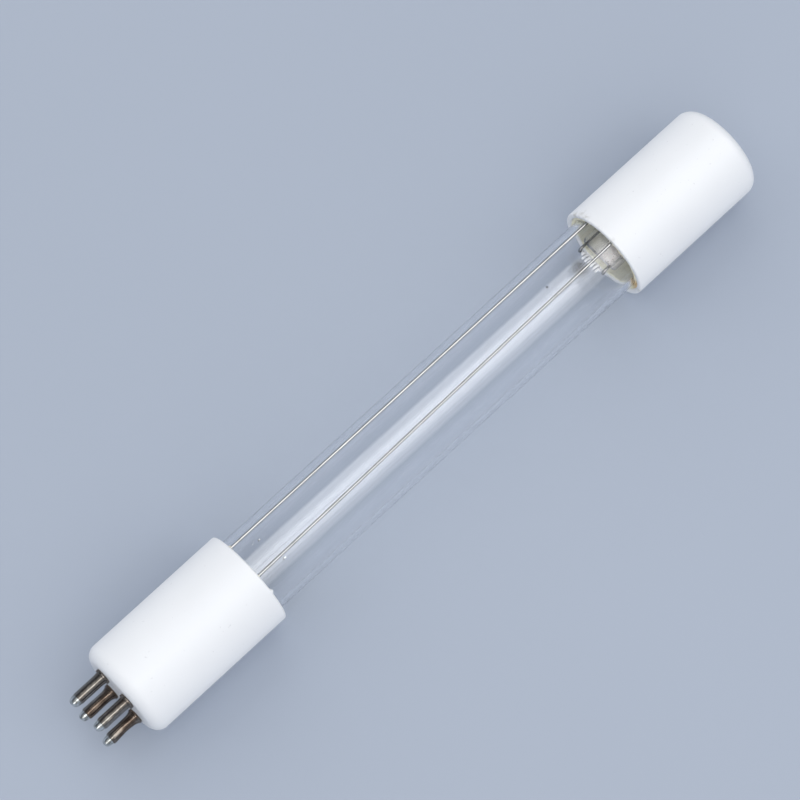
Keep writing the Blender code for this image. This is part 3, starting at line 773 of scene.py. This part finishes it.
def cup_outline(rim_x, face_x, floor_x):
    """Outline of a ceramic cup from the middle of its floor inside, over the rim, to its closed face."""
    way = 1 if face_x > rim_x else -1

    def turned(degrees):
        return degrees if way > 0 else 180 - degrees

    # The cup lies on the floor, so its outer radius is the height of the lamp's axis
    outline = [(floor_x, CAP_BORE * share) for share in (0.1, 0.5, 0.9)]
    outline += edge(floor_x - way * FLOOR_EDGE, CAP_BORE - FLOOR_EDGE, FLOOR_EDGE, turned(0), turned(90), 5)
    outline += [(floor_x - way * FLOOR_EDGE * 1.5, CAP_BORE), (rim_x + way * CAP_RIM * 1.5, CAP_BORE)]
    outline += edge(rim_x + way * CAP_RIM, CAP_BORE + CAP_RIM, CAP_RIM, turned(-90), turned(-180), 5)
    outline += edge(rim_x + way * CAP_RIM, AXIS_HEIGHT - CAP_RIM, CAP_RIM, turned(180), turned(90), 6)
    outline += [(rim_x + way * CAP_RIM * 1.5, AXIS_HEIGHT), (face_x - way * CAP_EDGE * 1.15, AXIS_HEIGHT)]
    outline += edge(face_x - way * CAP_EDGE, AXIS_HEIGHT - CAP_EDGE, CAP_EDGE, turned(90), turned(0), 12)
    outline += [(face_x, AXIS_HEIGHT * share) for share in (0.7, 0.35, 0.1)]
    return outline


def cup_mesh(name, rim_x, face_x, floor_x, burr_height):
    rows = []
    for x, radius in cup_outline(rim_x, face_x, floor_x):
        row = []
        for clock in full_turn(CAP_SIDES):
            point = around(x, radius, clock)
            if abs(x - rim_x) < CAP_RIM and radius > CAP_BORE + CAP_RIM:
                away = (clock - BURR_CLOCK + math.pi) % (2 * math.pi) - math.pi
                point.x += burr_height * math.exp(-(away * radius / BURR_WIDTH) ** 2)
            row.append(point)
        rows.append(row)
    return skin(name, rows, False)


base_glaze, base_white = glazed_ceramic("base_glaze")
paint(base_glaze, base_white, "Base Color")
base_cup = cup_mesh("base_ceramic", shell_high.x, shell_low.x, shell_low.x + BASE_FLOOR, BURR_HEIGHT)
add_piece(base_cup, base_glaze, "glazed_ceramic", "base_shell")

# Contact pins
# Drawn brass pins, nickel plated and brown with handling, riveted through the base's floor with a collar on
# the face. The lower two are thinner in the middle, where they were pinched.
PIN_RADIUS = 0.00115
PIN_MOUTH_RADIUS = 0.00094
PIN_TIP_LENGTH = 0.0005
MOUTH_DISH = 0.00008
MOUTH_DISH_RADIUS = 0.00070
PIN_MOUTH = PIN_LENGTH - SOLDER_LENGTH
PIN_SIDES = 56
COLLAR_RADIUS = 0.00155
SHANK_START = 0.0016
SHANK_STEPS = 16
FLARE_START = 0.00058
WAIST_START = 0.0008
WAIST_REACH = 0.0016
# Distance out from the pin face, and radius
PIN_OUTLINE = [(-0.0006, 0.00095), (-0.0001, 0.00095), (0.00002, 0.00146), (0.00008, 0.00153),
               (0.00014, COLLAR_RADIUS), (0.00046, COLLAR_RADIUS), (0.00054, 0.00152),
               (0.00058, 0.00145), (0.00060, 0.00137), (0.00076, 0.00135), (0.00084, 0.00131),
               (0.00100, 0.00125), (0.00125, 0.00119), (SHANK_START, PIN_RADIUS)]
PIN_OUTLINE += [(SHANK_START + (PIN_MOUTH - PIN_TIP_LENGTH - SHANK_START) * step / SHANK_STEPS, PIN_RADIUS)
                for step in range(1, SHANK_STEPS + 1)]
PIN_OUTLINE += [(PIN_MOUTH - PIN_TIP_LENGTH * (1 - math.sin(math.radians(angle))),
                 PIN_MOUTH_RADIUS + (PIN_RADIUS - PIN_MOUTH_RADIUS) * math.cos(math.radians(angle)))
                for angle in (15, 30, 45, 60, 75, 90)]
PIN_OUTLINE += [(PIN_MOUTH - MOUTH_DISH, MOUTH_DISH_RADIUS)]
# Waist as a share of the radius, its distance from the face, sideways bend at the tip, brownness, and how
# far the root flares out to the collar
PIN_SHAPES = ((0.00, 0.0030, 0.00000, 0.25, 0.35), (0.05, 0.0024, 0.00004, 0.75, 0.9),
              (0.015, 0.0036, -0.00003, 0.35, 0.35), (0.10, 0.0032, -0.00006, 0.60, 1.0))
PLATE_TONES = [(0.3, (0.19, 0.178, 0.158)), (0.7, (0.30, 0.282, 0.257))]
TARNISH_TONES = [(0.3, (0.075, 0.052, 0.039)), (0.7, (0.21, 0.162, 0.128))]
PLATE_WEAR = 0.000006


def pin_bend(bend, outward):
    return bend * max(outward, 0.0) ** 2 / PIN_MOUTH ** 2


def pin_mesh(number, waist, waist_at, bend, flare):
    rows = []
    for outward, radius in PIN_OUTLINE:
        if outward > FLARE_START and radius > PIN_RADIUS:
            radius = PIN_RADIUS + (radius - PIN_RADIUS) * flare
        middle = pin_spot(number, outward) + Vector((0.0, pin_bend(bend, outward), 0.0))
        pinch = 0.0
        if outward > WAIST_START:
            pinch = waist * math.exp(-((outward - waist_at) / WAIST_REACH) ** 2)
        row = []
        for angle in full_turn(PIN_SIDES):
            out = radius * (1 - pinch * (1 - 0.5 * math.sin(angle)))
            spot = Vector((outward * 900, math.cos(angle), math.sin(angle) + number))
            out *= 1 + 0.008 * noise.noise(spot)
            row.append(middle + Vector((0.0, math.sin(angle), math.cos(angle))) * out)
        rows.append(row)
    return skin("contact_pin_%d" % number, rows, False, sharp=50)


def pin_plating(number, brown):
    """Nickel plate, silvery where it is clean and brown where it has tarnished, most of all at the root."""
    plating = new_finish("pin_plating_%d" % number, Metallic=1.0)
    root = spread(plating, place_along(plating, "X"), PIN_FACE - PIN_LENGTH * 0.8, PIN_FACE, 0.0, 0.35)
    blotches = mottle(plating, 420.0, 4.0, (0.5, 1.0, 1.0))
    patches = spread(plating, blotches, 0.62 - brown * 0.4, 0.85 - brown * 0.4, 0.0, 1.0)
    tarnish = combine(plating, "ADD", patches, root)
    clean = tones(plating, mottle(plating, 1800.0), PLATE_TONES)
    brownish = tones(plating, mottle(plating, 900.0), TARNISH_TONES)
    paint(plating, blend_colors(plating, tarnish, clean, brownish), "Base Color")
    paint(plating, spread(plating, tarnish, 0.0, 1.0, 0.09, 0.22), "Roughness")
    relief(plating, mottle(plating, 2500.0, 3.0, (0.3, 1.0, 1.0)), PLATE_WEAR)
    return plating


for number, (waist, waist_at, bend, brown, flare) in enumerate(PIN_SHAPES, start=1):
    pin = pin_mesh(number, waist, waist_at, bend, flare)
    add_piece(pin, pin_plating(number, brown), "pin_plating", "pin_%d" % number)

# Solder domes
# Each pin is closed by a dip of soft solder over the end of its wire, which froze into a bright, slightly
# lopsided dome.
DOME_RADII = (0.00108, 0.00095, 0.00097, 0.00092)
DOME_LENGTHS = (0.00130, 0.00126, 0.00132, 0.00139)
DOME_SUNK = 0.00012
DOME_LEAN = 0.00005
DOME_SHORT = 0.000005
DOME_SIDES = 40
DOME_STEPS = 14
SOLDER_BRIGHT = (0.66, 0.68, 0.67)
SOLDER_DULL = (0.33, 0.34, 0.32)
SOLDER_FROST = 0.00002


def dome_mesh(number, radius, length, bend):
    rows = []
    for step in range(DOME_STEPS):
        angle = math.radians(90 * step / DOME_STEPS)
        outward = PIN_MOUTH - DOME_SUNK + (length + DOME_SUNK) * math.sin(angle) ** 0.9
        middle = pin_spot(number, min(outward, PIN_LENGTH - DOME_SHORT))
        middle += Vector((0.0, pin_bend(bend, PIN_MOUTH), 0.0))
        middle += Vector((0.0, 0.5, 1.0)) * DOME_LEAN * math.sin(angle) * math.cos(number * 2.1)
        row = []
        for turn in full_turn(DOME_SIDES):
            out = radius * math.cos(angle) ** 0.62
            spot = Vector((math.cos(turn) * 0.9, math.sin(turn) * 0.9, step * 0.12 + number * 5))
            out *= 1 + 0.07 * noise.noise(spot) * math.sin(angle)
            row.append(middle + Vector((0.0, math.sin(turn), math.cos(turn))) * out)
        rows.append(row)
    return skin("solder_dome_%d" % number, rows, False, sharp=60)


solder = new_finish("soft_solder", Metallic=1.0)
frosted = spread(solder, mottle(solder, 1300.0, 4.0), 0.45, 0.65, 0.0, 1.0)
paint(solder, tones(solder, frosted, [(0.0, SOLDER_BRIGHT), (1.0, SOLDER_DULL)]), "Base Color")
paint(solder, spread(solder, frosted, 0.0, 1.0, 0.06, 0.25), "Roughness")
relief(solder, mottle(solder, 2200.0, 3.0), SOLDER_FROST)
for number, (radius, length, pin_shape) in enumerate(zip(DOME_RADII, DOME_LENGTHS, PIN_SHAPES), start=1):
    add_piece(dome_mesh(number, radius, length, pin_shape[2]), solder, "solder", "solder_tip_%d" % number)

# Blank end cap
# The same glazed ceramic cup without pins, at the lamp's free end. Grey-beige smears on its rim show where
# the cement was wiped off.
END_FLOOR = 0.0035
# Clock angle in degrees, distance back from the rim, and reach
SMEARS = ((36, 0.0004, 0.0012), (46, 0.0009, 0.0011), (57, 0.0002, 0.0010), (-8, 0.0, 0.0009),
          (12, 0.0001, 0.0007), (-96, 0.0, 0.0010))
SMEAR_RADIUS = AXIS_HEIGHT - 0.0003
SMEAR_GREY = (0.56, 0.55, 0.52)
end_low, end_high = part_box("end_cap")
end_glaze, end_white = glazed_ceramic("end_glaze")
smears = None
for clock, back, reach in SMEARS:
    smear_point = around(end_low.x + back, SMEAR_RADIUS, math.radians(clock))
    smear = near_point(end_glaze, smear_point, reach, 0.7)
    smears = smear if smears is None else combine(end_glaze, "MAXIMUM", smears, smear)
patchy = spread(end_glaze, mottle(end_glaze, 1100.0, 3.0), 0.40, 0.64, 0.0, 0.75)
smears = combine(end_glaze, "MULTIPLY", smears, patchy)
paint(end_glaze, blend_colors(end_glaze, smears, end_white, SMEAR_GREY), "Base Color")
end_cup = cup_mesh("end_ceramic", end_low.x, end_high.x, end_high.x - END_FLOOR, 0.0)
add_piece(end_cup, end_glaze, "glazed_ceramic", "end_cap")

# Crimp sleeves
# Short nickel sleeves behind the far end of the glass. Each is squeezed at two places over a far lead and
# a return wire, which joins the two.
SLEEVE_HALF_LENGTH = 0.0020
SLEEVE_RADIUS = 0.0007
SLEEVE_SIDES = 32
SLEEVE_STEPS = 40
CRIMP_PLACE = 0.5
CRIMP_REACH = 0.16
CRIMP_DEPTH = 0.35
sleeve_nickel = nickel_finish("sleeve_nickel", dull=0.3)
for number, side in ((1, 1), (2, -1)):
    rows = []
    for step in range(SLEEVE_STEPS + 1):
        share = 2 * step / SLEEVE_STEPS - 1
        crimp = max(math.exp(-((share - CRIMP_PLACE) / CRIMP_REACH) ** 2),
                    math.exp(-((share + CRIMP_PLACE) / CRIMP_REACH) ** 2))
        lip = 0.9 if step in (0, SLEEVE_STEPS) else 1.0
        depth = share * SLEEVE_HALF_LENGTH - SLEEVE_MIDDLE
        row = []
        for angle in full_turn(SLEEVE_SIDES):
            up = SLEEVE_RADIUS * lip * (1 - CRIMP_DEPTH * crimp) * math.cos(angle)
            across = SLEEVE_RADIUS * lip * (1 + 0.04 * crimp) * math.sin(angle)
            row.append(mount_point(far_mount, depth, side * LEAD_SIDE + across, up))
        rows.append(row)
    sleeve = skin("crimp_sleeve_%d" % number, rows, False, sharp=50)
    add_piece(sleeve, sleeve_nickel, "nickel_wire", "splice_sleeve_%d" % number)

# Return wires
# Two bare nickel wires bring the far electrode's current back to the base. Each turns back from its sleeve,
# passes the end cap's rim, lies on the outside of the glass and goes on into its pin.
WIRE_GAP = 0.00007
WIRE_TRACK = TUBE_RADIUS + WIRE_GAP + WIRE_RADIUS
WIRE_WAVER = 0.00002
LONG_WIRE_STEP = 0.00035
TURN_BACK_RADIUS = CAP_BORE * 0.68
PAST_GLASS = LEAD_BEND * 0.8
# Pin, side of the sleeve, and clock angles in degrees at the base's rim and at the end cap's rim
RETURN_WIRES = ((1, 1, 35.0, 37.0), (3, -1, -18.9, -9.0))
near_insert = shell_high.x - tube_low.x
far_insert = tube_high.x - end_low.x
wire_nickel = nickel_finish("wire_nickel", dull=0.05)
base_crossings = []
cap_crossings = []
for number, (pin_number, side, base_clock, cap_clock) in enumerate(RETURN_WIRES, start=1):
    at_base = around(shell_high.x, WIRE_TRACK, math.radians(base_clock))
    at_cap = around(end_low.x, WIRE_TRACK, math.radians(cap_clock))
    base_crossings.append(at_base)
    cap_crossings.append(at_cap)
    slope = (at_cap - at_base) / (end_low.x - shell_high.x)
    leaves_glass = at_cap + slope * (far_insert + PAST_GLASS)
    reaches_base = at_base - slope * (near_insert + PAST_GLASS)
    sleeve_end = -SLEEVE_MIDDLE - SLEEVE_HALF_LENGTH
    turn_back = around(mount_point(far_mount, sleeve_end).x, TURN_BACK_RADIUS, math.radians(cap_clock))
    corners = [mount_point(far_mount, -SLEEVE_MIDDLE - SPLICE_GAP, side * LEAD_SIDE),
               mount_point(far_mount, sleeve_end - LEAD_BEND, side * LEAD_SIDE),
               turn_back, leaves_glass, reaches_base,
               pin_spot(pin_number, PIN_RUN_START), pin_spot(pin_number, PIN_WIRE_END)]
    route = []
    for point in even_route(rounded(corners, LEAD_BEND, 8), LONG_WIRE_STEP):
        waver = WIRE_WAVER * noise.noise(Vector((point.x * 60, number * 7.0, 0.0)))
        route.append(point + Vector((0.0, waver, 0.0)))
    outer_wire = drawn_wire("outer_wire_%d" % number, route, WIRE_RADIUS, sides=16)
    add_piece(outer_wire, wire_nickel, "nickel_wire", "return_wire_%d" % number)

# Basing cement
# Beige ceramic cement, pushed in between glass and cap and baked hard. It closes round the wires in small
# dabs, fills the cap behind the end of the glass, and is burnt brown at the base and orange at the cap.
CEMENT_GAP = 0.00002
CEMENT_OUTSIDE = CAP_BORE - CEMENT_GAP
CEMENT_INSIDE = TUBE_RADIUS + CEMENT_GAP
CEMENT_RECESS = 0.0007
CEMENT_FRONT_DEPTH = 0.002
CEMENT_CLIMB = 0.00035
CEMENT_SLOT = 0.0040
CEMENT_OVERRUN = 0.0060
CEMENT_HEEL = 0.0014
HEEL_SLANT = 0.0004
COARSE_LUMPS = 0.00028
FINE_LUMPS = 0.00012
CEMENT_SIDES = 240
DAB_REACH = 0.0006
NEAR_DAB_HEIGHT = 0.0009
FAR_DAB_HEIGHT = 0.00045
CEMENT_TONES = [(0.2, (0.80, 0.76, 0.60)), (0.5, (0.88, 0.85, 0.69)), (0.8, (0.94, 0.92, 0.80))]
CEMENT_GRAIN = 0.00015
BROWN_REACH = 0.0024
BURNT_BROWN = (0.24, 0.15, 0.10)
ORANGE_REACH = 0.0032
BURNT_ORANGE = (0.76, 0.52, 0.24)


def cement_mesh(mount, rim_x, crossings, dab_height):
    """A cement ring whose hollow, uneven front climbs a little on the glass, the cap and the wires."""
    inward = mount[2]
    front = rim_x - inward * CEMENT_RECESS
    heel = mount_point(mount, -CEMENT_SLOT).x
    back = mount_point(mount, -CEMENT_OVERRUN).x
    wall = CEMENT_OUTSIDE - CEMENT_INSIDE
    behind = front - inward * CEMENT_FRONT_DEPTH
    profile = [(back, CEMENT_OUTSIDE, False), (behind, CEMENT_OUTSIDE, False)]
    for share in (0.0, 0.15, 0.3, 0.45, 0.6, 0.75, 0.9, 1.0):
        climb = inward * CEMENT_CLIMB * abs(2 * share - 1) ** 2
        profile.append((front + climb, CEMENT_OUTSIDE - wall * share, True))
    profile += [(behind, CEMENT_INSIDE, False), (heel, CEMENT_INSIDE, False),
                (heel - inward * HEEL_SLANT, CEMENT_OUTSIDE - CEMENT_HEEL, False),
                (back, CEMENT_OUTSIDE - CEMENT_HEEL, False)]
    rows = []
    for x, radius, rough in profile:
        row = []
        for clock in full_turn(CEMENT_SIDES):
            point = around(x, radius, clock)
            if rough:
                lump = noise.noise(point * 260) * COARSE_LUMPS + noise.noise(point * 1100) * FINE_LUMPS
                point.x += inward * lump
                for crossing in crossings:
                    away = (point.yz - crossing.yz).length
                    point.x += inward * dab_height * math.exp(-(away / DAB_REACH) ** 2)
            row.append(point)
        rows.append(row)
    return skin("cement_ring_" + mount[0], rows, True, sharp=70)


def cement_finish(mount, burnt_point, burnt_reach, burnt_color):
    """Matt beige cement in streaks that run back from the front, with one burnt spot."""
    putty = new_finish("basing_cement_" + mount[0], Roughness=0.9, Specular_IOR_Level=0.2)
    place = add_node(putty, "ShaderNodeTexCoord")
    off_axis = add_node(putty, "ShaderNodeVectorMath", operation="SUBTRACT")
    off_axis.inputs[1].default_value = (0.0, 0.0, AXIS_HEIGHT)
    outwards = add_node(putty, "ShaderNodeVectorMath", operation="MULTIPLY")
    outwards.inputs[1].default_value = (0.0, 1.0, 1.0)
    way_out = add_node(putty, "ShaderNodeVectorMath", operation="NORMALIZE")
    streaks = add_node(putty, "ShaderNodeTexNoise", Scale=7.0, Detail=3.0)
    join(putty, place.outputs["Object"], off_axis.inputs[0])
    join(putty, off_axis.outputs["Vector"], outwards.inputs[0])
    join(putty, outwards.outputs["Vector"], way_out.inputs[0])
    join(putty, way_out.outputs["Vector"], streaks.inputs["Vector"])
    grain = spread(putty, mottle(putty, 420.0, 5.0, (0.35, 1.0, 1.0)), 0.3, 0.7, 0.0, 0.5)
    grain = combine(putty, "ADD", grain, spread(putty, streaks.outputs["Fac"], 0.3, 0.7, 0.0, 0.5))
    beige = tones(putty, grain, CEMENT_TONES)
    burnt = combine(putty, "MULTIPLY", near_point(putty, burnt_point, burnt_reach, 0.8), 0.8)
    paint(putty, blend_colors(putty, burnt, beige, burnt_color), "Base Color")
    relief(putty, mottle(putty, 1800.0, 4.0), CEMENT_GRAIN)
    return putty


brown_point = around(shell_high.x, WIRE_TRACK, math.radians(22))
near_cement = cement_finish(near_mount, brown_point, BROWN_REACH, BURNT_BROWN)
near_ring = cement_mesh(near_mount, shell_high.x, base_crossings, NEAR_DAB_HEIGHT)
add_piece(near_ring, near_cement, "cement", "cement_near")
orange_point = around(end_low.x, CEMENT_OUTSIDE, math.radians(-98))
far_cement = cement_finish(far_mount, orange_point, ORANGE_REACH, BURNT_ORANGE)
far_ring = cement_mesh(far_mount, end_low.x, cap_crossings, FAR_DAB_HEIGHT)
add_piece(far_ring, far_cement, "cement", "cement_far")
